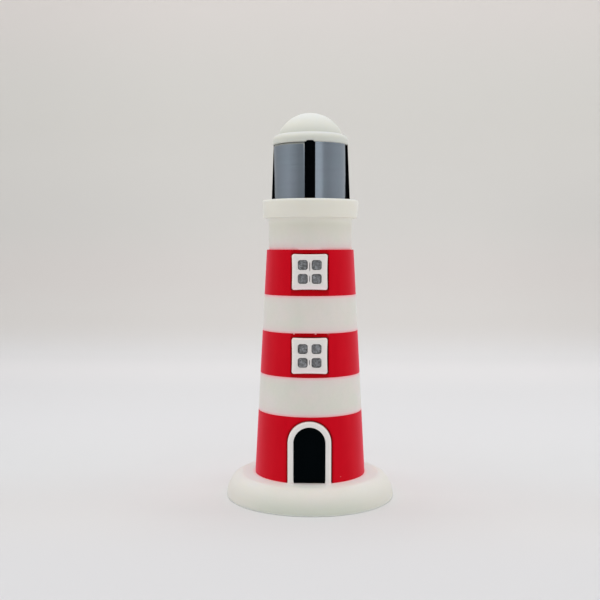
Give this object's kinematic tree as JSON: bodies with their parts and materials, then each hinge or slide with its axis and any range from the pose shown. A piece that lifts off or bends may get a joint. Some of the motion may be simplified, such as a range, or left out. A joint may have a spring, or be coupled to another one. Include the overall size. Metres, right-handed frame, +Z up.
{
  "type": "lighthouse figurine",
  "caption": "Free-standing striped toy lighthouse with a round foot, tapered banded tower, framed windows, arched door, glazed lantern room and domed roof.",
  "frame": {"origin": "centre of the base's underside, on the surface it stands on", "axes": "+Z up through the dome, -Y out of the door and the windows, +X to the right when facing the door"},
  "size_m": [0.0436, 0.0436, 0.0994],
  "materials": {
    "warm_white": "satin, slightly waxy and translucent off-white",
    "red": "matte, fine horizontal layer lines",
    "black": "satin",
    "door_black": "matte with a fine diagonal hatch",
    "silver_film": "smooth silver-grey film with soft reflections",
    "trim_white": "matte opaque white",
    "window_grey": "matte with a fine diagonal hatch"
  },
  "bodies": {
    "root": {"base": "warm_white", "tower_lower_red": "red", "tower_lower_white": "warm_white", "tower_middle_red": "red", "tower_upper_white": "warm_white", "tower_upper_red": "red", "gallery_neck": "warm_white", "lantern_core": "black", "lantern_pane_front_left": "silver_film", "lantern_pane_front_right": "silver_film", "lantern_pane_rear_left": "silver_film", "lantern_pane_rear_right": "silver_film", "roof": "warm_white", "upper_window_frame": "trim_white", "upper_window_pane_top_left": "window_grey", "upper_window_pane_top_right": "window_grey", "upper_window_pane_bottom_left": "window_grey", "upper_window_pane_bottom_right": "window_grey", "middle_window_frame": "trim_white", "middle_window_pane_top_left": "window_grey", "middle_window_pane_top_right": "window_grey", "middle_window_pane_bottom_left": "window_grey", "middle_window_pane_bottom_right": "window_grey", "door_arch": "trim_white", "door_panel": "door_black"}
  },
  "joints": []
}
